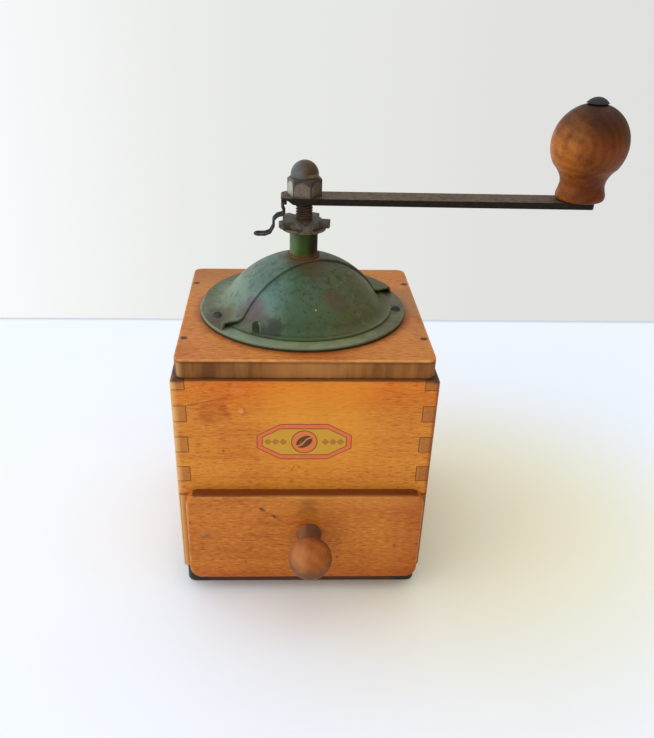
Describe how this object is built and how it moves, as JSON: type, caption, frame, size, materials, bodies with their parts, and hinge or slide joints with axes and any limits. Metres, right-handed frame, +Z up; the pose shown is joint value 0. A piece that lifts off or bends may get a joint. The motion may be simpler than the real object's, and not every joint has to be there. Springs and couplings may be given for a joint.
{
  "type": "manual coffee grinder",
  "caption": "Hand-cranked box coffee mill: finger-jointed wooden case with a drawer, steel dome hopper with a turning shutter, star-nut grind setting and a toothed conical burr set.",
  "frame": {"origin": "centre of the base board's underside, on the table", "axes": "+Z up along the shaft, -Y to the drawer's front, +X to the crank knob's side"},
  "size_m": [0.2031, 0.1552, 0.2248],
  "materials": {
    "case_wood": "aged satin varnish over beech",
    "top_wood": "worn varnish over beech",
    "drawer_wood": "aged satin varnish over beech",
    "inner_wood": "bare planed beech",
    "knob_wood": "polished brown varnish",
    "base_stain": "black stain",
    "green_paint": "worn satin green paint with rust",
    "dark_steel": "darkened and oiled",
    "rusty_steel": "rust-browned",
    "plain_steel": "dull",
    "burr_iron": "as cast, teeth ground",
    "black_rivet": "black enamel"
  },
  "bodies": {
    "case": {"base_board": "base_stain", "base_screws": "plain_steel", "left_side": "case_wood", "right_side": "case_wood", "front_panel": "case_wood", "back_panel": "case_wood", "top_board": "top_wood", "top_nails": "rusty_steel", "drawer_rails": "inner_wood", "hopper_dome": "green_paint", "neck_tube": "green_paint", "dome_screws": "rusty_steel", "dome_flange": "green_paint", "hopper_bowl": "plain_steel", "burr_ring": "burr_iron", "ring_rivets": "plain_steel", "bearing_bridge": "burr_iron", "bridge_screws": "plain_steel"},
    "shutter": {"shutter": "green_paint"},
    "washer": {"thrust_washer": "rusty_steel"},
    "star_nut": {"adjusting_nut": "rusty_steel"},
    "crank": {"shaft": "dark_steel", "burr_cone": "burr_iron", "cone_nut": "plain_steel", "cone_pin": "plain_steel", "crank_arm": "dark_steel", "cap_nut": "dark_steel", "knob_spindle": "black_rivet"},
    "grip": {"crank_knob": "knob_wood"},
    "nut_lock": {"lock_wire": "dark_steel"},
    "drawer": {"drawer_front": "drawer_wood", "drawer_left": "inner_wood", "drawer_right": "inner_wood", "drawer_back": "inner_wood", "drawer_bottom": "inner_wood", "drawer_knob": "knob_wood", "knob_screw": "plain_steel", "drawer_pins": "plain_steel"}
  },
  "joints": [
    {"name": "crank_turn", "type": "hinge", "parent": "case", "child": "washer", "pos_m": [0, 0, 0.1665], "axis": [0, 0, 1], "continuous": true},
    {"name": "nut_turn", "type": "hinge", "parent": "washer", "child": "star_nut", "pos_m": [0, 0, 0.169], "axis": [0, 0, 1], "range_deg": [-200, 200]},
    {"name": "shaft_lift", "type": "slide", "parent": "washer", "child": "crank", "axis": [0, 0, 1], "range_m": [-0.00063, 0.00063]},
    {"name": "knob_spin", "type": "hinge", "parent": "crank", "child": "grip", "pos_m": [0.12616, -0.00297, 0.2], "axis": [0, 0, 1], "continuous": true},
    {"name": "lock_lift", "type": "hinge", "parent": "crank", "child": "nut_lock", "pos_m": [-0.0094, 0, 0.17859], "axis": [0, 1, 0], "range_deg": [0, 80]},
    {"name": "drawer_slide", "type": "slide", "parent": "case", "child": "drawer", "axis": [0, -1, 0], "range_m": [0, 0.1]},
    {"name": "shutter_turn", "type": "hinge", "parent": "case", "child": "shutter", "pos_m": [0, 0, 0.14], "axis": [0, 0, 1], "range_deg": [0, 135]}
  ],
  "couplings": [
    {"joint": "nut_turn", "follows": "shaft_lift", "rad_per_m": -5026.5}
  ]
}
